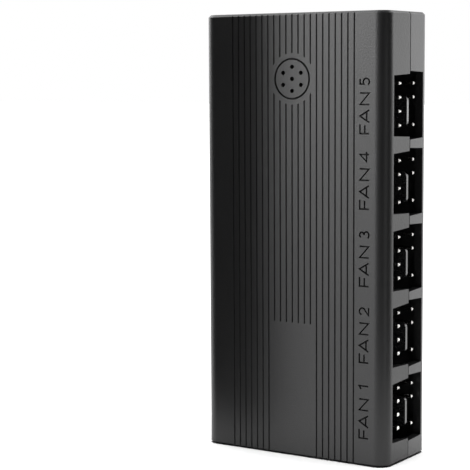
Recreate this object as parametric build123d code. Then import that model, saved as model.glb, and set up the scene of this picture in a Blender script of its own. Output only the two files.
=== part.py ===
from build123d import *
import os

# A fan controller hub for a desktop computer: two moulded shells round one circuit board.
# X runs across the case, Y from the front face to the rear, Z up from the foot it stands on.
# Depths are measured back from the front face and heights up from the foot, in millimetres.

# Case shells
wall = 1.6
corner_radius = 2.5
rim_chamfer = 0.45
seam_depth = 9.1
seam_chamfer = 0.15
lip_thickness = 0.7
lip_height = 1.2
lip_clearance = 0.1

# Room inside the case
front_room = 9.03
board_thickness = 1.0
rear_room = 3.57
middle_room = 13.4
board_overhang = 0.9
board_end_gap = 0.6

# Ports up the right-hand side, and the windows in the side wall
port_count = 5
port_pitch = 14.0
first_port_height = 9.85
room_above_ports = 16.75
window_land = 0.25
window_drop = 0.2
front_window_height = 11.4
rear_window_height = 12.5
window_draft = 2.4

# Square pins of every header
pin_pitch = 2.54
pin_size = 0.64
pin_taper = 0.2
pin_bend = 0.6
pin_recess = 1.0
pin_tail = 1.2
pin_hole_gap = 0.1
header_places = 4

# Fan header with its keying tab
fan_pin_reach = 7.5
fan_row_height = 3.33
fan_base_length = 3.0
fan_base_height = 5.8
fan_base_chamfer = 0.5
fan_leg_gap = 1.4
fan_tab_thickness = 0.65
fan_tab_width = 5.6
fan_tab_recess = 0.1
fan_tab_radius = 0.9
fan_tab_index = 2

# Light header, with one place left empty
light_pin_reach = 6.0
light_block_chamfer = 0.4
light_leg_gap = 0.7
light_empty_index = 2

# Ribbed front face
groove_pitch = 1.3
groove_width = 0.3
groove_depth = 0.25
side_groove_count = 10
short_groove_count = 3
bare_panel_height = 25.3

# Sound grille and the buzzer behind it
grille_drop = 12.05
grille_ring_radius = 3.65
grille_ring_width = 0.35
grille_ring_depth = 0.3
grille_clear_radius = 4.75
grille_hole_diameter = 0.8
grille_hole_circle_radius = 2.2
grille_hole_count = 6
buzzer_diameter = 9.5
buzzer_height = 5.0
buzzer_hole_diameter = 2.0
buzzer_hole_depth = 1.5
buzzer_lead_pitch = 5.0
buzzer_lead_size = 0.6

# Case screws, driven in from the rear through the board
screw_end_inset = 6.0
screw_spacing = 16.0
screw_core_diameter = 1.6
screw_length = 9.7
screw_head_diameter = 3.8
screw_head_height = 1.5
screw_head_sink = 0.4
screw_fit = 0.05
screw_pass_gap = 0.3
screw_blind_gap = 0.6
boss_diameter = 5.0
pillar_diameter = 6.0

# Power inlet on the left-hand side
inlet_middle_height = 24.0
inlet_width = 23.4
inlet_height = 6.4
inlet_length = 10.0
inlet_recess = 0.5
inlet_wall = 1.1
inlet_pocket = 7.0
inlet_gap = 0.2
tongue_thickness = 1.2
tongue_width = 19.6
tongue_length = 6.4
tongue_key = 1.0
contact_count = 15
contact_pitch = 1.27
contact_width = 0.8
contact_thickness = 0.2
contact_end_gap = 0.5
contact_leg_gap = 0.6

# Chips and other small parts on the board: places are X and height
lead_thickness = 0.2
lead_lift = 0.1
lead_slope = 0.6
lead_foot = 0.6
controller_place = (-2.0, 40.0)
controller_size = (7.5, 12.8, 2.3)
controller_lead_count = 10
controller_lead_pitch = 1.27
controller_lead_width = 0.42
buffer_place = (0.0, 56.0)
buffer_size = (3.9, 4.9, 1.5)
buffer_lead_count = 4
buffer_lead_pitch = 1.27
buffer_lead_width = 0.42
switch_x = 3.4
switch_lift = 3.6
switch_size = (1.3, 2.9, 1.0)
switch_lead_pitch = 0.95
switch_lead_width = 0.4
crystal_place = (-9.6, 41.0)
crystal_size = (3.2, 5.0, 1.0)
crystal_corner_cut = 0.5
capacitor_places = ((-2.0, 15.5), (-2.0, 24.5))
capacitor_diameter = 6.3
capacitor_height = 7.0
capacitor_foot_width = 6.6
capacitor_foot_height = 0.8
capacitor_foot_chamfer = 1.3
receiver_place = (-4.5, 35.0)
receiver_size = (11.0, 13.0, 0.8)
shield_size = (9.0, 9.0, 1.6)
shield_corner_cut = 0.6

# Sizes that follow from those above
leg_x = middle_room / 2
fan_base_back = leg_x + fan_leg_gap
fan_base_face = fan_base_back + fan_base_length
pin_tip_x = fan_base_face + fan_pin_reach
side_x = pin_tip_x + pin_recess
case_width = 2 * side_x
board_front = wall + front_room
board_rear = board_front + board_thickness
case_depth = board_rear + rear_room + wall
case_height = first_port_height + (port_count - 1) * port_pitch + room_above_ports
board_half_width = fan_base_face + board_overhang
fan_row_depth = board_front - fan_row_height
light_row_depth = board_rear + pin_pitch / 2
light_block_face = pin_tip_x - light_pin_reach
light_block_back = light_block_face - pin_pitch
light_leg_x = light_block_back - light_leg_gap
header_width = header_places * pin_pitch
grille_height = case_height - grille_drop
buzzer_lead_places = [(0, grille_height + side * buzzer_lead_pitch / 2) for side in (-1, 1)]
port_heights = [first_port_height + n * port_pitch for n in range(port_count)]
place_heights = [(header_places - 1) * pin_pitch / 2 - n * pin_pitch for n in range(header_places)]
light_places = [n for n in range(header_places) if n != light_empty_index]
screw_seat_depth = case_depth - screw_head_sink - screw_head_height
screw_places = [
    (-screw_spacing / 2, screw_end_inset),
    (screw_spacing / 2, case_height - screw_end_inset),
]


def behind(depth):
    """Y of a plane at this depth behind the front face."""
    return depth - case_depth / 2


def block(x, depths, z):
    """A box between two ends on each axis, with depths in place of Y."""
    size = Box(x[1] - x[0], depths[1] - depths[0], z[1] - z[0])
    return Pos(sum(x) / 2, behind(sum(depths) / 2), sum(z) / 2) * size


def rod(place, diameter, depths):
    """A round bar from front to rear, about a place given as X and height."""
    bar = Rot(90, 0, 0) * Cylinder(diameter / 2, depths[1] - depths[0])
    return Pos(place[0], behind(sum(depths) / 2), place[1]) * bar


def square_bar(place, width, depths):
    """A square bar from front to rear, about a place given as X and height."""
    x, z = place
    return block((x - width / 2, x + width / 2), depths, (z - width / 2, z + width / 2))


def wire_along(points, width, thickness, bend):
    """A flat or square wire through three X and depth points, its corner cut across; width is along Z."""
    start, corner, end = [Vector(x, behind(depth), 0) for x, depth in points]
    bend_start = corner + (start - corner).normalized() * bend
    bend_end = corner + (end - corner).normalized() * bend
    path = Polyline(start, bend_start, bend_end, end)
    section = Plane(origin=path @ 0, x_dir=(0, 0, 1), z_dir=path % 0) * Rectangle(width, thickness)
    return sweep(section, path, transition=Transition.RIGHT)


def on_front(place):
    """Frame on the board's front face: local X across, local Y up, local Z off the board."""
    origin = (place[0], behind(board_front), place[1])
    return Plane(origin=origin, x_dir=(1, 0, 0), z_dir=(0, -1, 0))


def on_rear(place):
    """Frame on the board's rear face: local X across, local Y down, local Z off the board."""
    origin = (place[0], behind(board_rear), place[1])
    return Plane(origin=origin, x_dir=(1, 0, 0), z_dir=(0, 1, 0))


def case_form():
    """The case's outer form, with rounded upright corners and broken rims."""
    form = extrude(RectangleRounded(case_width, case_depth, corner_radius), case_height)
    rims = form.edges().group_by(Axis.Z)
    return chamfer(rims[0] + rims[-1], rim_chamfer)


def inner_frame(grow, depths):
    """A block as wide and tall as the room inside the walls, grown into the walls."""
    reach = side_x - wall + grow
    return block((-reach, reach), depths, (wall - grow, case_height - wall + grow))


def shells():
    """The hollow case, cut at the seam into a front and a rear shell."""
    hollow = case_form() - inner_frame(0, (wall, case_depth - wall))
    front_half = block((-case_width, case_width), (-wall, seam_depth), (-wall, case_height + wall))
    front = hollow & front_half
    rear = hollow - front_half
    front = chamfer(front.faces().sort_by(Axis.Y)[-1].outer_wire().edges(), seam_chamfer)
    rear = chamfer(rear.faces().sort_by(Axis.Y)[0].outer_wire().edges(), seam_chamfer)
    return front, rear


def side_window(height, seam_height, closed_depth):
    """A cutter through the right-hand wall, past the seam and with draft towards its closed end."""
    length = closed_depth - seam_depth
    seam = (side_x - wall / 2, behind(seam_depth), height - window_drop)
    mouth = Plane(origin=seam, x_dir=(1, 0, 0), z_dir=(0, length, 0)) * Rectangle(4 * wall, seam_height)
    return extrude(mouth, abs(length), taper=window_draft) + extrude(mouth, -2 * lip_height)


def inlet_window():
    """A cutter through the left wall, clear of the power inlet by a small gap."""
    half = inlet_width / 2 + inlet_gap
    depths = (board_front - inlet_height - inlet_gap, board_front + inlet_gap)
    ends = (inlet_middle_height - half, inlet_middle_height + half)
    return block((-side_x - wall, -side_x + 2 * wall), depths, ends)


def face_grooves():
    """Upright V grooves in the front face; the middle ones stop at the grille and above a bare panel."""
    corners = [(-groove_width, -groove_depth), (groove_width, -groove_depth), (0, groove_depth)]
    groove = extrude(Polygon(*corners, align=None), case_height)
    grooves = Part()
    for n in range(-side_groove_count, side_groove_count + 1):
        grooves += Pos(n * groove_pitch, behind(0), 0) * groove
    panel_reach = short_groove_count * groove_pitch + groove_pitch / 2
    panel = block((-panel_reach, panel_reach), (-wall, wall), (-wall, bare_panel_height))
    return grooves - panel - rod((0, grille_height), 2 * grille_clear_radius, (-wall, wall))


def grille_cuts():
    """A ring groove round a disc, with one hole in the middle and a circle of holes."""
    centre = (0, grille_height)
    outer = rod(centre, 2 * grille_ring_radius + grille_ring_width, (-wall, grille_ring_depth))
    cuts = outer - rod(centre, 2 * grille_ring_radius - grille_ring_width, (-wall, grille_ring_depth))
    cuts += rod(centre, grille_hole_diameter, (-wall, 2 * wall))
    for spot in PolarLocations(grille_hole_circle_radius, grille_hole_count, 90):
        place = (spot.position.X, grille_height + spot.position.Y)
        cuts += rod(place, grille_hole_diameter, (-wall, 2 * wall))
    return cuts


def make_front_cover(front):
    """The front shell: rebated for the lip, with windows, ribs, grille and screw bosses."""
    rebate_depths = (seam_depth - lip_height - lip_clearance, seam_depth + wall)
    front -= inner_frame(lip_thickness + lip_clearance, rebate_depths)
    for height in port_heights:
        front -= side_window(height, front_window_height, corner_radius + window_land)
    front -= inlet_window()
    pilot_start = screw_seat_depth - screw_length - screw_blind_gap
    for place in screw_places:
        boss = rod(place, boss_diameter, (wall / 2, board_front))
        front += boss - rod(place, screw_core_diameter + 2 * screw_fit, (pilot_start, board_front))
    return front - face_grooves() - grille_cuts()


def make_rear_cover(rear):
    """The rear shell: with the closing lip, the windows and the pillars that the screws pass through."""
    lip_depths = (seam_depth - lip_height, seam_depth)
    rear += inner_frame(lip_thickness, lip_depths) - inner_frame(0, lip_depths)
    for height in port_heights:
        rear -= side_window(height, rear_window_height, case_depth - corner_radius)
    rear -= inlet_window()
    for place in screw_places:
        rear += rod(place, pillar_diameter, (board_rear, case_depth - wall / 2))
        rear -= rod(place, screw_core_diameter + 2 * screw_pass_gap, (board_rear, case_depth))
        rear -= rod(place, screw_head_diameter + 2 * screw_pass_gap, (screw_seat_depth, case_depth))
    return rear


def make_circuit_board():
    """The board, with holes for the screws, the fan pins and the buzzer's leads."""
    depths = (board_front, board_rear)
    ends = (wall + board_end_gap, case_height - wall - board_end_gap)
    board = block((-board_half_width, board_half_width), depths, ends)
    for place in screw_places:
        board -= rod(place, screw_core_diameter + 2 * screw_pass_gap, depths)
    for height in port_heights:
        for drop in place_heights:
            board -= square_bar((leg_x, height + drop), pin_size + 2 * pin_hole_gap, depths)
    for place in buzzer_lead_places:
        board -= square_bar(place, buzzer_lead_size + 2 * pin_hole_gap, depths)
    return board


def make_fan_header():
    """A moulded base on the board's front face, with a round-cornered keying tab along three of the pins."""
    width = (-header_width / 2, header_width / 2)
    base = block((fan_base_back, fan_base_face), (board_front - fan_base_height, board_front), width)
    base = chamfer(base.edges().filter_by(Axis.Z).group_by(Axis.Y)[0], fan_base_chamfer)
    middle = place_heights[fan_tab_index]
    tab_x = (fan_base_face, pin_tip_x - fan_tab_recess)
    tab_ends = (middle - fan_tab_width / 2, middle + fan_tab_width / 2)
    tab = block(tab_x, (board_front - fan_tab_thickness, board_front), tab_ends)
    header = base + fillet(tab.edges().filter_by(Axis.Y).group_by(Axis.X)[-1], fan_tab_radius)
    row = (fan_row_depth - pin_size / 2, fan_row_depth + pin_size / 2)
    for z in place_heights:
        header -= block((fan_base_back, fan_base_face), row, (z - pin_size / 2, z + pin_size / 2))
    return header


def make_light_header():
    """A row of cells on the board's rear face, one for each place, with cut corners away from the board."""
    cell = chamfer(Rectangle(pin_pitch, pin_pitch).vertices().group_by(Axis.X)[-1], light_block_chamfer)
    row = Sketch()
    for z in place_heights:
        row += Pos(0, z) * cell
    back = (light_block_back, behind(light_row_depth), 0)
    header = extrude(Plane(origin=back, x_dir=(0, 1, 0), z_dir=(1, 0, 0)) * row, pin_pitch)
    depths = (light_row_depth - pin_size / 2, light_row_depth + pin_size / 2)
    for n in light_places:
        z = place_heights[n]
        header -= block((light_block_back, light_block_face), depths, (z - pin_size / 2, z + pin_size / 2))
    return header


def pin_row(points, places):
    """Bent square pins with tapered tips, one at each place."""
    pin = wire_along(points, pin_size, pin_size, pin_bend)
    pin = chamfer(pin.faces().sort_by(Axis.X)[-1].edges(), pin_taper)
    return Part() + [Pos(0, 0, place_heights[n]) * pin for n in places]


def make_fan_pins():
    """Four pins that leave the base, turn towards the board and pass through it."""
    points = [(pin_tip_x, fan_row_depth), (leg_x, fan_row_depth), (leg_x, board_rear + pin_tail)]
    return pin_row(points, range(header_places))


def make_light_pins():
    """Three pins that leave the block, turn towards the board and stand on its rear face."""
    points = [(pin_tip_x, light_row_depth), (light_leg_x, light_row_depth), (light_leg_x, board_rear)]
    return pin_row(points, light_places)


def contact_blades():
    """Flat blades along the inlet's tongue, through its back wall and down to the board."""
    depth = board_front - inlet_height / 2 + tongue_thickness / 2
    mouth = -side_x + inlet_recess
    tip = mouth + inlet_pocket - tongue_length + contact_end_gap
    leg = mouth + inlet_length + contact_leg_gap
    width = (-contact_width / 2, contact_width / 2)
    blade = block((tip, leg), (depth, depth + contact_thickness), width)
    blade += block((leg - contact_thickness, leg), (depth, board_front), width)
    first = inlet_middle_height - (contact_count - 1) * contact_pitch / 2
    return Part() + [Pos(0, 0, first + n * contact_pitch) * blade for n in range(contact_count)]


def make_power_inlet(blades):
    """A shrouded socket with a flat keyed tongue in its pocket."""
    mouth = -side_x + inlet_recess
    depths = (board_front - inlet_height, board_front)
    ends = (inlet_middle_height - inlet_width / 2, inlet_middle_height + inlet_width / 2)
    body = block((mouth, mouth + inlet_length), depths, ends)
    pocket_depths = (depths[0] + inlet_wall, depths[1] - inlet_wall)
    body -= block((mouth, mouth + inlet_pocket), pocket_depths, (ends[0] + inlet_wall, ends[1] - inlet_wall))
    middle = sum(depths) / 2
    tongue_x = (mouth + inlet_pocket - tongue_length, mouth + inlet_pocket)
    tongue_depths = (middle - tongue_thickness / 2, middle + tongue_thickness / 2)
    top = inlet_middle_height + tongue_width / 2
    body += block(tongue_x, tongue_depths, (inlet_middle_height - tongue_width / 2, top))
    body += block(tongue_x, (tongue_depths[0] - tongue_key, tongue_depths[1]), (top - tongue_thickness, top))
    return body - blades


def leaded_chip(size, left_leads, right_leads, lead_width):
    """A moulded body with sloping leads whose feet stand on the board, as one soldered-down piece."""
    width, length, height = size
    body = Pos(0, 0, lead_lift + height / 2) * Box(width, length, height)
    root = (width / 2 - lead_thickness, 0, lead_lift + height / 2)
    heel = width / 2 + lead_slope
    foot = lead_thickness / 2
    path = Polyline(root, (heel, 0, foot), (heel + lead_foot, 0, foot))
    section = Plane(origin=path @ 0, x_dir=(0, 1, 0), z_dir=path % 0) * Rectangle(lead_width, lead_thickness)
    lead = sweep(section, path, transition=Transition.RIGHT)
    chip = body
    for y in right_leads:
        chip += Pos(0, y, 0) * lead
    for y in left_leads:
        chip += Pos(0, y, 0) * Rot(0, 0, 180) * lead
    return chip


def lead_row(count, pitch):
    """Evenly spaced lead places about the middle."""
    return [(n - (count - 1) / 2) * pitch for n in range(count)]


def make_controller_chip():
    leads = lead_row(controller_lead_count, controller_lead_pitch)
    return on_front(controller_place) * leaded_chip(controller_size, leads, leads, controller_lead_width)


def make_light_buffer_chip():
    leads = lead_row(buffer_lead_count, buffer_lead_pitch)
    return on_front(buffer_place) * leaded_chip(buffer_size, leads, leads, buffer_lead_width)


def make_fan_switch(height):
    """A three-legged transistor on the board's rear face, near the top of its port."""
    pair = [-switch_lead_pitch, switch_lead_pitch]
    return on_rear((switch_x, height + switch_lift)) * leaded_chip(switch_size, pair, [0], switch_lead_width)


def make_clock_crystal():
    width, length, height = crystal_size
    outline = chamfer(Rectangle(width, length).vertices(), crystal_corner_cut)
    return on_front(crystal_place) * extrude(outline, height)


def make_supply_capacitor(place):
    """A can on a square foot that has two cut corners."""
    corners = Rectangle(capacitor_foot_width, capacitor_foot_width).vertices().group_by(Axis.Y)[-1]
    foot = extrude(chamfer(corners, capacitor_foot_chamfer), capacitor_foot_height)
    can = Pos(0, 0, capacitor_foot_height) * extrude(Circle(capacitor_diameter / 2), capacitor_height)
    return on_front(place) * (foot + can)


def make_receiver_board():
    width, length, height = receiver_size
    return on_rear(receiver_place) * Pos(0, 0, height / 2) * Box(width, length, height)


def make_receiver_shield():
    width, length, height = shield_size
    outline = chamfer(Rectangle(width, length).vertices(), shield_corner_cut)
    return on_rear(receiver_place) * Pos(0, 0, receiver_size[2]) * extrude(outline, height)


def make_buzzer():
    """A round sounder with a port in its face and two leads through the board."""
    body = extrude(Circle(buzzer_diameter / 2), buzzer_height)
    body -= Pos(0, 0, buzzer_height) * extrude(Circle(buzzer_hole_diameter / 2), -buzzer_hole_depth)
    buzzer = on_front((0, grille_height)) * body
    for place in buzzer_lead_places:
        buzzer += square_bar(place, buzzer_lead_size, (board_front, board_rear + pin_tail))
    return buzzer


def make_case_screws():
    """Flat-topped screws, seated on the pillars' shoulders."""
    screw = extrude(Circle(screw_head_diameter / 2), screw_head_height)
    screw += extrude(Circle(screw_core_diameter / 2), -screw_length)
    frames = [Plane(origin=(x, behind(screw_seat_depth), z), z_dir=(0, 1, 0)) for x, z in screw_places]
    return Part() + [frame * screw for frame in frames]


def make_nodes():
    """Every separate piece of the hub by its name."""
    front, rear = shells()
    blades = contact_blades()
    nodes = {
        "front_cover": make_front_cover(front),
        "rear_cover": make_rear_cover(rear),
        "circuit_board": make_circuit_board(),
        "power_inlet": make_power_inlet(blades),
        "power_contacts": blades,
        "controller_chip": make_controller_chip(),
        "light_buffer_chip": make_light_buffer_chip(),
        "clock_crystal": make_clock_crystal(),
        "receiver_board": make_receiver_board(),
        "receiver_shield": make_receiver_shield(),
        "buzzer": make_buzzer(),
        "case_screws": make_case_screws(),
    }
    port_parts = {
        "fan_header": make_fan_header(),
        "fan_pins": make_fan_pins(),
        "light_header": make_light_header(),
        "light_pins": make_light_pins(),
    }
    for name, solid in port_parts.items():
        for n, height in enumerate(port_heights, 1):
            nodes[f"{name}_{n}"] = Pos(0, 0, height) * solid
    for n, height in enumerate(port_heights, 1):
        nodes[f"fan_switch_{n}"] = make_fan_switch(height)
    for n, place in enumerate(capacitor_places, 1):
        nodes[f"supply_capacitor_{n}"] = make_supply_capacitor(place)
    return nodes


os.makedirs("parts", exist_ok=True)
for node, solid in make_nodes().items():
    export_step(solid, f"parts/{node}.step")
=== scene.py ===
"""Dresses the fan controller hub: engraved port labels, cross-head screws, finishes and a stage."""
import math

import bmesh
import bpy
import numpy as np
from bpy.props import FloatProperty, FloatVectorProperty, PointerProperty
from mathutils import Matrix, Vector


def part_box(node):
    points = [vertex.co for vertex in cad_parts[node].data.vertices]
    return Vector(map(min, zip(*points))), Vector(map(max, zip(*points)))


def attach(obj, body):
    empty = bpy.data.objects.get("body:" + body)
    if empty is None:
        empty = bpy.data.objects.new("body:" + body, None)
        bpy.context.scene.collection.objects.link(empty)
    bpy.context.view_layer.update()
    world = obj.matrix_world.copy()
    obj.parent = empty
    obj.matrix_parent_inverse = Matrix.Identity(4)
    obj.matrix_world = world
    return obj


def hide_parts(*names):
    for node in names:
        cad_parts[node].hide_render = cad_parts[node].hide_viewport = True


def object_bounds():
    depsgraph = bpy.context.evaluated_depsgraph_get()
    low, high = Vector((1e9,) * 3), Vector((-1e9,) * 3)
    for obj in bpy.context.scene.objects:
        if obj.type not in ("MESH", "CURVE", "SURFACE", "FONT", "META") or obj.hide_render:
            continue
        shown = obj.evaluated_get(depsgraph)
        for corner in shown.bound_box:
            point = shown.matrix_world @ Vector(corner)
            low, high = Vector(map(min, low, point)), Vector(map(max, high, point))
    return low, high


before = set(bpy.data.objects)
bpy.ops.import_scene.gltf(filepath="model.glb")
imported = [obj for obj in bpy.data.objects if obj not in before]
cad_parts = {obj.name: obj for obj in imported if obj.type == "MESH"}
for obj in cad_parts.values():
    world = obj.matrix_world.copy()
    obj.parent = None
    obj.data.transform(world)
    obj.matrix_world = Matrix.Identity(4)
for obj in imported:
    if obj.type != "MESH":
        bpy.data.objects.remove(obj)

bl_info = {
    "name": "Fan controller hub",
    "version": (1, 0, 0),
    "blender": (4, 5, 0),
    "location": "3D View > Sidebar > Hub",
    "description": "Dresses the solids of a fan controller hub with labels, finishes and a studio stage",
    "category": "Object",
}

CAD_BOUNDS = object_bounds()
PORTS = range(1, 1 + sum(node.startswith("fan_header_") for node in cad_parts))
MM = 0.001
# Corners this close are one corner, and points this close to a face lie on it
WELD = 0.001 * MM
LEVEL = 0.01 * MM
# Faces that meet at less than this angle are shaded as one rounded face
ROUNDED = math.radians(40)
# How far the floor goes on each side, in metres
FLOOR_REACH = 3.0


def length(name, description, default):
    """A size that a user may change, in metres."""
    said = {"name": name, "description": description, "default": default}
    return FloatProperty(**said, min=0.0, precision=6, unit="LENGTH")


def place(name, description, default):
    """A point that a user may move, in metres."""
    said = {"name": name, "description": description, "default": default}
    return FloatVectorProperty(**said, precision=5, subtype="XYZ", unit="LENGTH")


def turn(name, description, degrees):
    """An angle that a user may change."""
    return FloatProperty(name=name, description=description, default=math.radians(degrees), unit="ROTATION")


def share(name, description, default):
    """A part of one, such as a roughness."""
    said = {"name": name, "description": description, "default": default}
    return FloatProperty(**said, min=0.0, max=1.0, subtype="FACTOR")


def power(name, description, default):
    """How bright a light is: the strength of the overhead one, or the radiance of a soft box."""
    return FloatProperty(name=name, description=description, default=default, min=0.0, subtype="UNSIGNED")


def tint(name, description, default):
    """A colour in linear light."""
    said = {"name": name, "description": description, "default": default}
    return FloatVectorProperty(**said, min=0.0, max=1.0, subtype="COLOR")


class HubCase(bpy.types.PropertyGroup):
    """Finish and fine details of the two moulded shells."""

    colour: tint("Colour", "Black of both shells", (0.006, 0.006, 0.0063))
    # Painted sheen: the rear shell's outer side walls get a paler black that stands in for their brighter
    # reflection
    rear_side_painted_sheen: tint("Rear side colour", "Paler black of the rear side walls", (0.05, 0.05, 0.051))
    roughness: share("Roughness", "How far the satin face spreads a reflection", 0.4)
    grain_size: length("Grain size", "Width of one dimple of the moulded texture", 0.3 * MM)
    grain_depth: length("Grain depth", "Depth of one dimple of the moulded texture", 0.03 * MM)
    ring_radius: length("Ring radius", "Radius of the ring round the sound grille", 3.65 * MM)
    ring_width: length("Ring width", "Width of that ring at the surface", 0.35 * MM)
    ring_depth: length("Ring depth", "Depth of the moulded ring", 0.3 * MM)
    ring_narrowing: share("Ring narrowing", "How much of its width the ring loses towards its bottom", 0.9)
    ring_deepening: share("Ring deepening", "How much deeper the narrowed bottom lies, in ring depths", 0.6)


class HubLabels(bpy.types.PropertyGroup):
    """Sizes of the engraved port labels."""

    cap_height: length("Cap height", "Height of a capital letter", 1.87 * MM)
    baseline: length("Baseline", "Distance of the letters' feet from the middle of the front", 16.08 * MM)
    lead: length("Lead", "How far below the middle of its port a label starts", 4.66 * MM)
    stroke: length("Stroke", "Width of a stroke at the surface", 0.31 * MM)
    stroke_bottom: length("Stroke bottom", "Width of a stroke at its bottom", 0.031 * MM)
    depth: length("Depth", "Depth of a stroke", 0.45 * MM)
    top_drop: length("Top drop", "How much lower than the others the top label stands", 0.45 * MM)


class HubScrews(bpy.types.PropertyGroup):
    """Sizes and finish of the case screws."""

    slot_length: length("Slot length", "Length of one bar of the cross recess", 2.4 * MM)
    slot_width: length("Slot width", "Width of one bar of the cross recess", 0.6 * MM)
    slot_bottom: length("Slot bottom", "Width of one bar at its bottom", 0.36 * MM)
    slot_depth: length("Slot depth", "Depth of the cross recess", 0.8 * MM)
    colour: tint("Colour", "Dark plated steel", (0.2, 0.2, 0.21))


class HubContacts(bpy.types.PropertyGroup):
    """Finish of the headers, the inlet and their pins."""

    header_colour: tint("Header colour", "Black connector plastic", (0.008, 0.008, 0.0083))
    header_roughness: share("Header roughness", "Satin of the connector plastic", 0.26)
    pin_colour: tint("Pin colour", "Tin plating", (0.82, 0.81, 0.78))
    pin_roughness: share("Pin roughness", "How far the plating spreads a reflection", 0.16)


class HubBoard(bpy.types.PropertyGroup):
    """Finish of the circuit board and of what is soldered to it."""

    mask_colour: tint("Mask colour", "Solder mask over bare laminate", (0.008, 0.011, 0.009))
    track_colour: tint("Track colour", "Solder mask over copper", (0.016, 0.022, 0.018))
    track_pitch: length("Track pitch", "Distance between neighbouring tracks", 1.666 * MM)
    chip_colour: tint("Chip colour", "Moulded chip package", (0.022, 0.022, 0.023))
    can_colour: tint("Can colour", "Drawn metal can", (0.7, 0.7, 0.71))


class HubStage(bpy.types.PropertyGroup):
    """Camera, floor and light."""

    eye: place("Eye", "Where the camera stands", (146.772 * MM, -251.158 * MM, 71.256 * MM))
    yaw: turn("Yaw", "How far the camera is turned to the left of the rear", 33.301)
    pitch: turn("Pitch", "How far the camera looks down", 5.937)
    roll: turn("Roll", "How far the camera is tipped", -0.31)
    lens: FloatProperty(name="Lens", description="Focal length", default=117.671, unit="CAMERA")
    floor_colour: tint("Floor colour", "Pale floor", (0.86, 0.86, 0.86))
    top_light: power("Top light", "Even light from above, for the floor", 6.0)
    front_light: power("Front light", "Soft box at the front left", 7.2)
    side_light: power("Side light", "Soft box at the rear right", 2.05)
    left_light: power("Left light", "Tall soft box at the left that catches rims", 3.4)
    strip_light: power("Strip light", "Upright strip at the right that catches the pin tips", 1.3)
    ambient: share("Ambient", "Light from all round", 0.1)


class HubSettings(bpy.types.PropertyGroup):
    """All settings of the hub."""

    case: PointerProperty(type=HubCase, name="Case", description="The two moulded shells")
    labels: PointerProperty(type=HubLabels, name="Labels", description="The engraved port labels")
    screws: PointerProperty(type=HubScrews, name="Screws", description="The case screws")
    contacts: PointerProperty(type=HubContacts, name="Contacts", description="Headers, inlet and pins")
    board: PointerProperty(type=HubBoard, name="Board", description="The board and its parts")
    stage: PointerProperty(type=HubStage, name="Stage", description="Camera, floor and light")


class Value:
    """An output socket of a finish; arithmetic with it adds Math nodes."""

    def __init__(self, finish, socket):
        self.finish = finish
        self.socket = socket

    def combine(self, operation, first, second):
        """One Math node on two values, either of which may be a number."""
        return self.finish.node("ShaderNodeMath", {"operation": operation}, {0: first, 1: second})

    def __add__(self, other):
        return self.combine("ADD", self, other)

    def __sub__(self, other):
        return self.combine("SUBTRACT", self, other)

    def __rsub__(self, other):
        return self.combine("SUBTRACT", other, self)

    def __mul__(self, other):
        return self.combine("MULTIPLY", self, other)

    __radd__ = __add__
    __rmul__ = __mul__


class Finish:
    """A material made of nodes that end in one Principled shader."""

    def __init__(self, name):
        self.material = bpy.data.materials.new(name)
        self.material.use_nodes = True
        self.tree = self.material.node_tree
        self.shader = self.tree.nodes["Principled BSDF"]

    def node(self, kind, settings, sockets, output=0):
        """Adds a node, settings first and then its sockets' values or links, and gives one output."""
        added = self.tree.nodes.new(kind)
        for key, setting in settings.items():
            setattr(added, key, setting)
        self.connect(added, sockets)
        return Value(self, added.outputs[output])

    def connect(self, node, sockets):
        """Gives each socket its value, or its link where the value comes from another node."""
        for key, value in sockets.items():
            if isinstance(value, Value):
                self.tree.links.new(value.socket, node.inputs[key])
            else:
                node.inputs[key].default_value = value

    def surface(self, sockets):
        """Sets the shader's own sockets and gives the finished material."""
        self.connect(self.shader, sockets)
        return self.material

    def position(self):
        """Where a point is on the hub, in metres."""
        return self.node("ShaderNodeTexCoord", {}, {}, "Object")

    def noise(self, size, detail=2.0, stretch=(1.0, 1.0, 1.0)):
        """Cloudy noise between 0 and 1 with clouds about this wide, drawn out where stretch is below one."""
        spot = self.node("ShaderNodeMapping", {}, {"Vector": self.position(), "Scale": stretch})
        return self.node("ShaderNodeTexNoise", {}, {"Vector": spot, "Scale": 1.0 / size, "Detail": detail})

    def mix(self, factor, first, second):
        """A colour between two others."""
        first, second = [end if isinstance(end, Value) else (*end, 1.0) for end in (first, second)]
        return self.node("ShaderNodeMix", {"data_type": "RGBA"}, {0: factor, 6: first, 7: second}, 2)

    def bump(self, height, distance):
        """Normals of a surface raised by height times distance."""
        return self.node("ShaderNodeBump", {}, {"Height": height, "Distance": distance, "Strength": 1.0})


def moulded_plastic(name, case, painted_sheen_side_colour):
    """Satin plastic: fine dimples, slow clouds of tone and gloss, and a second tone on the outer side walls,
    a painted sheen where it is paler.
    """
    finish = Finish(name)
    grain = finish.noise(case.grain_size)
    flow = finish.noise(9 * MM, stretch=(1.0, 1.0, 0.4))
    inner = finish.mix(flow, np.multiply(case.colour, 0.85), np.multiply(case.colour, 1.2))
    # Painted sheen on the outer side walls: a paler side colour stands in for their brighter reflection, and
    # the inner faces keep the plain black
    outer = finish.mix(flow, np.multiply(painted_sheen_side_colour, 0.9), np.multiply(painted_sheen_side_colour, 1.1))
    across = finish.node("ShaderNodeSeparateXYZ", {}, {0: finish.position()}, "X")
    reach = finish.node("ShaderNodeMath", {"operation": "ABSOLUTE"}, {0: across})
    wall = CAD_BOUNDS[1].x - 0.1 * MM
    side = finish.node("ShaderNodeMath", {"operation": "GREATER_THAN"}, {0: reach, 1: wall})
    return finish.surface({
        "Base Color": finish.mix(side, inner, outer),
        "Roughness": case.roughness + 0.06 * (flow - 0.5) + 0.08 * (grain - 0.5),
        "Normal": finish.bump(grain, case.grain_depth),
        "IOR": 1.5,
    })


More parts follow.
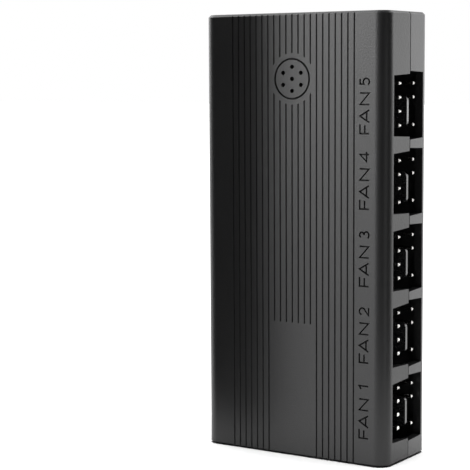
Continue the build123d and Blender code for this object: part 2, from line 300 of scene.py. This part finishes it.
def connector_plastic(name, colour, roughness):
    """Glossy glass-filled plastic with a faint lengthwise grain of fibres."""
    finish = Finish(name)
    fibres = finish.noise(0.25 * MM, stretch=(0.2, 1.0, 1.0))
    return finish.surface({
        "Base Color": finish.mix(fibres, np.multiply(colour, 0.8), np.multiply(colour, 1.3)),
        "Roughness": roughness + 0.1 * (fibres - 0.5),
        "Normal": finish.bump(fibres, 0.004 * MM),
        "IOR": 1.58,
        "Coat Weight": 0.5,
        "Coat Roughness": 0.2,
    })


def chip_package(name, colour):
    """Dull moulded epoxy with a fine even grain."""
    finish = Finish(name)
    grain = finish.noise(0.1 * MM)
    return finish.surface({
        "Base Color": finish.mix(grain, np.multiply(colour, 0.8), np.multiply(colour, 1.2)),
        "Roughness": 0.52 + 0.1 * (grain - 0.5),
        "Normal": finish.bump(grain, 0.004 * MM),
    })


def drawn_metal(name, colour, roughness, stretch):
    """Bare or plated metal with fine lines along the way it was drawn and a faint bloom."""
    finish = Finish(name)
    lines = finish.noise(0.12 * MM, stretch=stretch)
    bloom = finish.noise(1.5 * MM)
    dull, bright = np.multiply(colour, 0.86), np.minimum(np.multiply(colour, 1.06), 1.0)
    return finish.surface({
        "Base Color": finish.mix(bloom, dull, bright),
        "Metallic": 1.0,
        "Roughness": roughness + 0.1 * (lines - 0.5) + 0.06 * (bloom - 0.5),
        "Normal": finish.bump(lines, 0.001 * MM),
    })


def solder_mask(name, bare, track, pitch):
    """Glossy mask that rises over tracks: slanting bands, bent by noise and cut off at random.

    A band repeats when ten times the scale times the sum of the coordinates has grown by two pi, and that
    sum grows by the root of two for each unit across the bands, in the plane of the board.
    """
    finish = Finish(name)
    wander = finish.noise(6 * MM, detail=0.0)
    settings = {"wave_type": "BANDS", "bands_direction": "DIAGONAL"}
    scale = 2 * math.pi / (10 * math.sqrt(2) * pitch)
    sockets = {"Vector": finish.position(), "Scale": scale, "Distortion": 2.5, "Detail": 0.0}
    bands = finish.node("ShaderNodeTexWave", settings, sockets)
    limits = {"From Min": 0.55, "From Max": 0.65, "To Min": 0.0, "To Max": 1.0}
    tracks = finish.node("ShaderNodeMapRange", {}, {"Value": bands * (0.5 + wander), **limits})
    return finish.surface({
        "Base Color": finish.mix(tracks, bare, track),
        "Roughness": 0.3 + 0.08 * tracks,
        "Normal": finish.bump(tracks, 0.03 * MM),
        "Coat Weight": 0.2,
    })


def pale_floor(name, colour):
    """Matt painted floor with a faint mottle."""
    finish = Finish(name)
    mottle = finish.noise(40 * MM)
    tone = finish.mix(mottle, np.multiply(colour, 0.98), colour)
    return finish.surface({"Base Color": tone, "Roughness": 0.9})


def black_card(name):
    """Dull black card with a faint fleck."""
    finish = Finish(name)
    fleck = finish.noise(5 * MM)
    tone = finish.mix(fleck, (0.0, 0.0, 0.0), (0.004, 0.004, 0.004))
    return finish.surface({"Base Color": tone, "Roughness": 1.0})


def line(*points):
    """A path straight from point to point."""
    return np.array(points, float)


def arc(middle, radii, start, end, count=14):
    """A path along an ellipse, from one angle to another in degrees, at evenly spaced angles."""
    angles = np.radians(np.linspace(start, end, count))
    return np.column_stack([middle[0] + radii[0] * np.cos(angles), middle[1] + radii[1] * np.sin(angles)])


# Each glyph in cap heights: its width, the gap after it and its strokes
GLYPHS = {
    "F": (0.88, 0.2, line((0.88, 1), (0, 1), (0, 0)), line((0, 0.48), (0.8, 0.48))),
    "A": (1.18, 0.52, line((0, 0), (0.59, 1), (1.18, 0)), line((0.16, 0.27), (1.02, 0.27))),
    "N": (1.09, 0.78, line((0, 0), (0, 1), (1.09, 0), (1.09, 1))),
    "1": (0.53, 0.0, line((0.2, 0.8), (0.53, 1), (0.53, 0))),
    "2": (0.74, 0.0, np.vstack([arc((0.37, 0.68), (0.33, 0.32), 165, -38), line((0, 0), (0.74, 0))])),
    "3": (0.68, 0.0, arc((0.32, 0.76), (0.27, 0.24), 150, -90), arc((0.32, 0.26), (0.34, 0.26), 90, -150)),
    "4": (0.84, 0.0, line((0.6, 0), (0.6, 1), (-0.08, 0.27), (0.84, 0.27))),
    "5": (0.62, 0.0, np.vstack([line((0.56, 1), (0.08, 1)), arc((0.29, 0.33), (0.33, 0.33), 135, -145)])),
}


def groove_prism(path, top, bottom, depth):
    """A cutter for a groove along a flat path.

    At every path point stands a section across it: the top width at the surface, the bottom width at the
    depth, and its flanks carried on above the surface by a fifth of the depth. It is turned to the mean of
    the two runs that meet there and widened by one over the cosine of half the turn, at most twofold. The
    sections are joined by quads and the two end ones closed.
    """
    runs = np.diff(path, axis=0)
    runs /= np.linalg.norm(runs, axis=1, keepdims=True)
    before = np.vstack([runs[:1], runs])
    after = np.vstack([runs, runs[-1:]])
    mean = before + after
    mean /= np.linalg.norm(mean, axis=1, keepdims=True)
    across = np.column_stack([-mean[:, 1], mean[:, 0]])
    least_cosine = 0.5
    across /= np.maximum(np.sum(mean * after, axis=1, keepdims=True), least_cosine)
    over = 0.2
    brim = top / 2 + over * (top - bottom) / 2
    halves = np.array([brim, -brim, -bottom / 2, bottom / 2])
    levels = np.array([over, over, -1, -1]) * depth
    points = np.empty((len(path), 4, 3))
    points[:, :, :2] = path[:, None, :] + across[:, None, :] * halves[None, :, None]
    points[:, :, 2] = levels
    start = 4 * np.arange(len(path) - 1)[:, None]
    side = np.arange(4)[None, :]
    turned = (side + 1) % 4
    quads = np.stack([start + side, start + turned, start + turned + 4, start + side + 4], axis=2)
    last = 4 * (len(path) - 1)
    caps = np.array([[3, 2, 1, 0], [last, last + 1, last + 2, last + 3]])
    return points.reshape(-1, 3), np.vstack([quads.reshape(-1, 4), caps])


def in_frame(points, origin, along, up):
    """Points of a flat frame taken to the hub: origin plus each number times along, up and their product."""
    axes = np.array([along, up, np.cross(along, up)])
    return np.asarray(origin) + points @ axes


def new_object(name, points, faces):
    """An object at the origin with this mesh."""
    mesh = bpy.data.meshes.new(name)
    mesh.from_pydata(points.tolist(), [], faces.tolist())
    made = bpy.data.objects.new(name, mesh)
    bpy.context.scene.collection.objects.link(made)
    return made


def joined(pieces):
    """Several lots of points and faces as one, with each lot's faces moved past the points before it."""
    firsts = np.cumsum([0] + [len(points) for points, _ in pieces[:-1]])
    points = np.vstack([points for points, _ in pieces])
    return points, np.vstack([faces + first for (_, faces), first in zip(pieces, firsts)])


def merged_copy(node, name):
    """A copy of a solid whose loose triangles share their corners."""
    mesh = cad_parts[node].data.copy()
    shape = bmesh.new()
    shape.from_mesh(mesh)
    bmesh.ops.remove_doubles(shape, verts=shape.verts, dist=WELD)
    shape.to_mesh(mesh)
    shape.free()
    mesh.name = name
    made = bpy.data.objects.new(name, mesh)
    bpy.context.scene.collection.objects.link(made)
    return made


def bake_modifiers(piece):
    """Replaces a piece's mesh by the one that its modifiers give."""
    shaped = piece.evaluated_get(bpy.context.evaluated_depsgraph_get())
    mesh = bpy.data.meshes.new_from_object(shaped)
    mesh.name = piece.name
    piece.modifiers.clear()
    piece.data = mesh


def carve(piece, cutter):
    """Cuts the cutter's shape out of a piece and removes the cutter."""
    cut = piece.modifiers.new("Carve", "BOOLEAN")
    cut.operation = "DIFFERENCE"
    cut.solver = "EXACT"
    cut.use_self = True
    cut.object = cutter
    bake_modifiers(piece)
    bpy.data.objects.remove(cutter)


def narrow_ring(cover, case):
    """Draws the grille's ring to a narrow bottom: a point below the face goes deeper and towards the ring's
    middle line, by a share that grows from nothing at the face to all of it at the ring's floor.
    """
    low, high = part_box("buzzer")
    points = np.empty(3 * len(cover.data.vertices))
    cover.data.vertices.foreach_get("co", points)
    points = points.reshape(-1, 3)
    out = points[:, [0, 2]] - ((low.x + high.x) / 2, (low.z + high.z) / 2)
    reach = np.linalg.norm(out, axis=1)
    depth = points[:, 1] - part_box("front_cover")[0].y
    ring = (np.abs(reach - case.ring_radius) < case.ring_width) & (depth < 2 * case.ring_depth)
    sunk = np.clip(depth[ring] / case.ring_depth, 0, 1)
    narrowed = case.ring_radius + (reach[ring] - case.ring_radius) * (1 - case.ring_narrowing * sunk)
    points[np.ix_(ring, [0, 2])] += out[ring] * (narrowed / reach[ring] - 1)[:, None]
    points[ring, 1] += case.ring_deepening * sunk * case.ring_depth
    cover.data.vertices.foreach_set("co", points.ravel())
    cover.data.update()


def shade(piece):
    """Shades rounded faces smoothly and keeps flat ones flat beside them.

    The corners of all faces are sorted by edge, and an edge is smooth only where it has two faces and the
    product of their normals is over the cosine of the rounded limit.
    """
    mesh = piece.data
    mesh.polygons.foreach_set("use_smooth", np.ones(len(mesh.polygons), bool))
    sides = np.empty(len(mesh.polygons), int)
    mesh.polygons.foreach_get("loop_total", sides)
    normals = np.empty(3 * len(mesh.polygons))
    mesh.polygons.foreach_get("normal", normals)
    normals = normals.reshape(-1, 3)
    edges = np.empty(len(mesh.loops), int)
    mesh.loops.foreach_get("edge_index", edges)
    order = np.argsort(edges, kind="stable")
    edges = edges[order]
    faces = np.repeat(np.arange(len(sides)), sides)[order]
    first = np.flatnonzero(np.diff(edges, prepend=-1))
    paired = first[np.diff(first, append=len(edges)) == 2]
    product = np.sum(normals[faces[paired]] * normals[faces[paired + 1]], axis=1)
    sharp = np.ones(len(mesh.edges), bool)
    sharp[edges[paired]] = product < math.cos(ROUNDED)
    mesh.edges.foreach_set("use_edge_sharp", sharp)
    shading = piece.modifiers.new("Shading", "WEIGHTED_NORMAL")
    shading.keep_sharp = True
    bake_modifiers(piece)


def dress(piece, material):
    """Gives an object one material."""
    piece.data.materials.clear()
    piece.data.materials.append(material)


def stand_for(piece, node, material):
    """Puts a piece in the place of a solid, on the hub's one body."""
    dress(piece, material)
    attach(piece, "root")
    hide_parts(node)


def dress_nodes(prefixes, material):
    """Gives one material to every solid whose name starts with one of these words."""
    for name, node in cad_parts.items():
        if name.startswith(prefixes):
            dress(node, material)


def label_cutter(labels):
    """The strokes of every port label, laid bottom to top on the front beside its port."""
    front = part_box("front_cover")[0].y
    lots = []
    for port in PORTS:
        low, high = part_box(f"fan_header_{port}")
        along = (low.z + high.z) / 2 - labels.lead
        if port == PORTS[-1]:
            along -= labels.top_drop
        for letter in f"FAN{port}":
            width, gap, *strokes = GLYPHS[letter]
            foot = (labels.baseline, front, along)
            for stroke in strokes:
                path = stroke * labels.cap_height
                points, faces = groove_prism(path, labels.stroke, labels.stroke_bottom, labels.depth)
                lots.append((in_frame(points, foot, (0, 0, 1), (-1, 0, 0)), faces))
            along += (width + gap) * labels.cap_height
    return new_object("label_strokes", *joined(lots))


def cross_cutter(screws):
    """The two bars of the cross recess in the middle of every screw head's outer face."""
    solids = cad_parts["case_screws"].data
    points = np.empty(3 * len(solids.vertices))
    solids.vertices.foreach_get("co", points)
    points = points.reshape(-1, 3)
    rear = points[:, 1].max()
    heads = points[points[:, 1] > rear - LEVEL]
    reach = screws.slot_length / 2
    lots = []
    for upper in (False, True):
        rim = heads[(heads[:, 2] > heads[:, 2].mean()) == upper]
        middle = (rim.min(axis=0) + rim.max(axis=0)) / 2
        for path in (line((-reach, 0), (reach, 0)), line((0, -reach), (0, reach))):
            prism, faces = groove_prism(path, screws.slot_width, screws.slot_bottom, screws.slot_depth)
            lots.append((in_frame(prism, middle, (-1, 0, 0), (0, 0, 1)), faces))
    return new_object("cross_bars", *joined(lots))


class HUB_OT_front_cover(bpy.types.Operator):
    """Engrave the port labels into the ribbed front cover and narrow its grille ring"""

    bl_idname = "hub.front_cover"
    bl_label = "Front cover"

    def execute(self, context):
        hub = context.scene.hub
        cover = merged_copy("front_cover", "engraved_front_cover")
        narrow_ring(cover, hub.case)
        carve(cover, label_cutter(hub.labels))
        shade(cover)
        plastic = moulded_plastic("front_plastic", hub.case, hub.case.colour)
        stand_for(cover, "front_cover", plastic)
        return {"FINISHED"}


class HUB_OT_rear_cover(bpy.types.Operator):
    """Shade the rear cover's rounded edges smoothly and finish it"""

    bl_idname = "hub.rear_cover"
    bl_label = "Rear cover"

    def execute(self, context):
        case = context.scene.hub.case
        cover = merged_copy("rear_cover", "smooth_rear_cover")
        shade(cover)
        # The rear shell's outer side walls get a paler black, painted sheen for their brighter reflection
        plastic = moulded_plastic("rear_plastic", case, case.rear_side_painted_sheen)
        stand_for(cover, "rear_cover", plastic)
        return {"FINISHED"}


class HUB_OT_screws(bpy.types.Operator):
    """Cut a cross recess into the case screws"""

    bl_idname = "hub.screws"
    bl_label = "Case screws"

    def execute(self, context):
        screws = context.scene.hub.screws
        piece = merged_copy("case_screws", "cross_head_screws")
        carve(piece, cross_cutter(screws))
        shade(piece)
        steel = drawn_metal("dark_steel", screws.colour, 0.4, (1.0, 1.0, 1.0))
        stand_for(piece, "case_screws", steel)
        return {"FINISHED"}


class HUB_OT_contacts(bpy.types.Operator):
    """Finish the headers, the power inlet and every pin and blade"""

    bl_idname = "hub.contacts"
    bl_label = "Headers and pins"

    def execute(self, context):
        contacts = context.scene.hub.contacts
        plastic = connector_plastic("connector_plastic", contacts.header_colour, contacts.header_roughness)
        dress_nodes(("fan_header", "light_header", "power_inlet"), plastic)
        tin = drawn_metal("tin_plating", contacts.pin_colour, contacts.pin_roughness, (0.08, 1.0, 1.0))
        dress_nodes(("fan_pins", "light_pins", "power_contacts"), tin)
        return {"FINISHED"}


class HUB_OT_board(bpy.types.Operator):
    """Finish the circuit board and the parts soldered to it"""

    bl_idname = "hub.board"
    bl_label = "Board and its parts"

    def execute(self, context):
        board = context.scene.hub.board
        mask = solder_mask("solder_mask", board.mask_colour, board.track_colour, board.track_pitch)
        dress_nodes(("circuit_board", "receiver_board"), mask)
        package = chip_package("chip_package", board.chip_colour)
        dress_nodes(("controller_chip", "light_buffer_chip", "fan_switch", "buzzer"), package)
        can = drawn_metal("drawn_can", board.can_colour, 0.34, (1.0, 0.1, 1.0))
        dress_nodes(("supply_capacitor", "clock_crystal", "receiver_shield"), can)
        return {"FINISHED"}


def towards(azimuth, distance, height):
    """A point this far from the hub's middle, at an angle in degrees from the front towards the ports."""
    angle = math.radians(azimuth)
    return Vector((distance * math.sin(angle), -distance * math.cos(angle), height))


def all_but(name, pieces):
    """A light's list that leaves out these pieces."""
    listed = bpy.data.collections.new(name)
    for piece in pieces:
        listed.objects.link(piece)
    for entry in listed.collection_objects:
        entry.light_linking.link_state = "EXCLUDE"
    return listed


def soft_box(name, spot, target, width, height, radiance):
    """A rectangular light of even brightness that the camera doesn't see and that leaves the floor alone."""
    light = bpy.data.lights.new(name, "AREA")
    light.shape = "RECTANGLE"
    light.size = width
    light.size_y = height
    light.energy = radiance * math.pi * width * height
    lamp = bpy.data.objects.new(name, light)
    facing = (target - spot).to_track_quat("-Z", "Y").to_matrix().to_4x4()
    lamp.matrix_world = Matrix.Translation(spot) @ facing
    lamp.visible_camera = False
    lamp.light_linking.receiver_collection = all_but(name, [bpy.data.objects["floor"]])
    bpy.context.scene.collection.objects.link(lamp)


def standing_card(name, plan, height):
    """An upright black card along a plan path, with each path point at foot and top.

    Reflections show it and it shades the soft boxes, but the camera doesn't see it.
    """
    foot = np.column_stack([plan, np.zeros(len(plan))])
    points = np.vstack([foot, foot + (0, 0, height)])
    first = np.arange(len(plan) - 1)
    faces = np.column_stack([first, first + 1, first + 1 + len(plan), first + len(plan)])
    card = new_object(name, points, faces)
    dress(card, black_card(name))
    for sight in ("visible_camera", "visible_diffuse", "visible_transmission"):
        setattr(card, sight, False)
    return card


class HUB_OT_stage(bpy.types.Operator):
    """Set the camera, the pale floor and the studio light"""

    bl_idname = "hub.stage"
    bl_label = "Stage"

    def execute(self, context):
        scene = context.scene
        stage = scene.hub.stage
        self.camera(scene, stage)
        self.floor(stage)
        self.lights(scene, stage)
        return {"FINISHED"}

    def camera(self, scene, stage):
        """Stands the camera at the eye, turned, tipped down and rolled."""
        lens = bpy.data.cameras.new("camera")
        lens.lens = stage.lens
        lens.sensor_width = 36.0
        lens.clip_start = 0.01
        viewer = bpy.data.objects.new("camera", lens)
        facing = Matrix.Rotation(stage.yaw, 4, "Z") @ Matrix.Rotation(math.pi / 2 - stage.pitch, 4, "X")
        tipped = Matrix.Rotation(stage.roll, 4, "Z")
        viewer.matrix_world = Matrix.Translation(stage.eye) @ facing @ tipped
        scene.collection.objects.link(viewer)
        scene.camera = viewer

    def floor(self, stage):
        """Lays one pale square under the hub."""
        corners = FLOOR_REACH * np.array([(-1, -1, 0), (1, -1, 0), (1, 1, 0), (-1, 1, 0)])
        floor = new_object("floor", corners, np.array([[0, 1, 2, 3]]))
        dress(floor, pale_floor("floor", stage.floor_colour))

    def lights(self, scene, stage):
        """Puts soft boxes round the hub, an even light overhead, and black cards for its dark reflections."""
        middle = Vector((0, 0, 45 * MM))
        front, left, side = towards(-40, 0.42, 0.28), towards(-106, 0.4, 0.34), towards(157, 0.4, 0.24)
        soft_box("front_box", front, middle, width=0.42, height=0.5, radiance=stage.front_light)
        soft_box("left_box", left, middle, width=0.36, height=0.7, radiance=stage.left_light)
        soft_box("side_box", side, middle, width=0.4, height=0.46, radiance=stage.side_light)
        level = 42 * MM
        beside, inwards = towards(71.5, 72 * MM, level), Vector((0, 0, level))
        soft_box("strip", beside, inwards, width=9.5 * MM, height=80 * MM, radiance=stage.strip_light)
        sun = bpy.data.lights.new("top_light", "SUN")
        sun.energy = stage.top_light
        sun.angle = math.radians(30)
        overhead = bpy.data.objects.new("top_light", sun)
        overhead.visible_glossy = False
        scene.collection.objects.link(overhead)
        left_plan = line((-72 * MM, -26 * MM), (-14 * MM, -26 * MM))
        right_plan = np.array([towards(azimuth, 76 * MM, 0).xy for azimuth in range(8, 117, 12)])
        left_card = standing_card("left_card", left_plan, height=170 * MM)
        right_card = standing_card("right_card", right_plan, height=200 * MM)
        overhead.light_linking.blocker_collection = all_but("top_light", [left_card, right_card])
        self.surroundings(scene, stage)

    def surroundings(self, scene, stage):
        """Shows white behind the floor and lights the hub faintly from all round."""
        world = bpy.data.worlds.new("studio")
        world.use_nodes = True
        tree = world.node_tree
        seen = tree.nodes["Background"]
        seen.inputs["Color"].default_value = (1, 1, 1, 1)
        lit = tree.nodes.new("ShaderNodeBackground")
        lit.inputs["Strength"].default_value = stage.ambient
        path = tree.nodes.new("ShaderNodeLightPath")
        either = tree.nodes.new("ShaderNodeMixShader")
        tree.links.new(path.outputs["Is Camera Ray"], either.inputs[0])
        tree.links.new(lit.outputs[0], either.inputs[1])
        tree.links.new(seen.outputs[0], either.inputs[2])
        tree.links.new(either.outputs[0], tree.nodes["World Output"].inputs["Surface"])
        scene.world = world
        scene.view_settings.view_transform = "Standard"


OPERATORS = (
    HUB_OT_front_cover,
    HUB_OT_rear_cover,
    HUB_OT_screws,
    HUB_OT_contacts,
    HUB_OT_board,
    HUB_OT_stage,
)


class HUB_PT_panel(bpy.types.Panel):
    """The hub's settings and operators"""

    bl_idname = "HUB_PT_panel"
    bl_label = "Fan controller hub"
    bl_space_type = "VIEW_3D"
    bl_region_type = "UI"
    bl_category = "Hub"

    def draw(self, context):
        hub = context.scene.hub
        for name in HubSettings.__annotations__:
            group = getattr(hub, name)
            box = self.layout.box()
            box.label(text=name.capitalize())
            for setting in group.__annotations__:
                box.prop(group, setting)
        for operator in OPERATORS:
            self.layout.operator(operator.bl_idname)


CLASSES = (
    HubCase,
    HubLabels,
    HubScrews,
    HubContacts,
    HubBoard,
    HubStage,
    HubSettings,
    *OPERATORS,
    HUB_PT_panel,
)


def register():
    for kind in CLASSES:
        bpy.utils.register_class(kind)
    bpy.types.Scene.hub = PointerProperty(type=HubSettings)


def unregister():
    del bpy.types.Scene.hub
    for kind in reversed(CLASSES):
        bpy.utils.unregister_class(kind)


def main():
    """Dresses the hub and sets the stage."""
    register()
    bpy.ops.hub.front_cover()
    bpy.ops.hub.rear_cover()
    bpy.ops.hub.screws()
    bpy.ops.hub.contacts()
    bpy.ops.hub.board()
    bpy.ops.hub.stage()


if __name__ == "__main__":
    main()
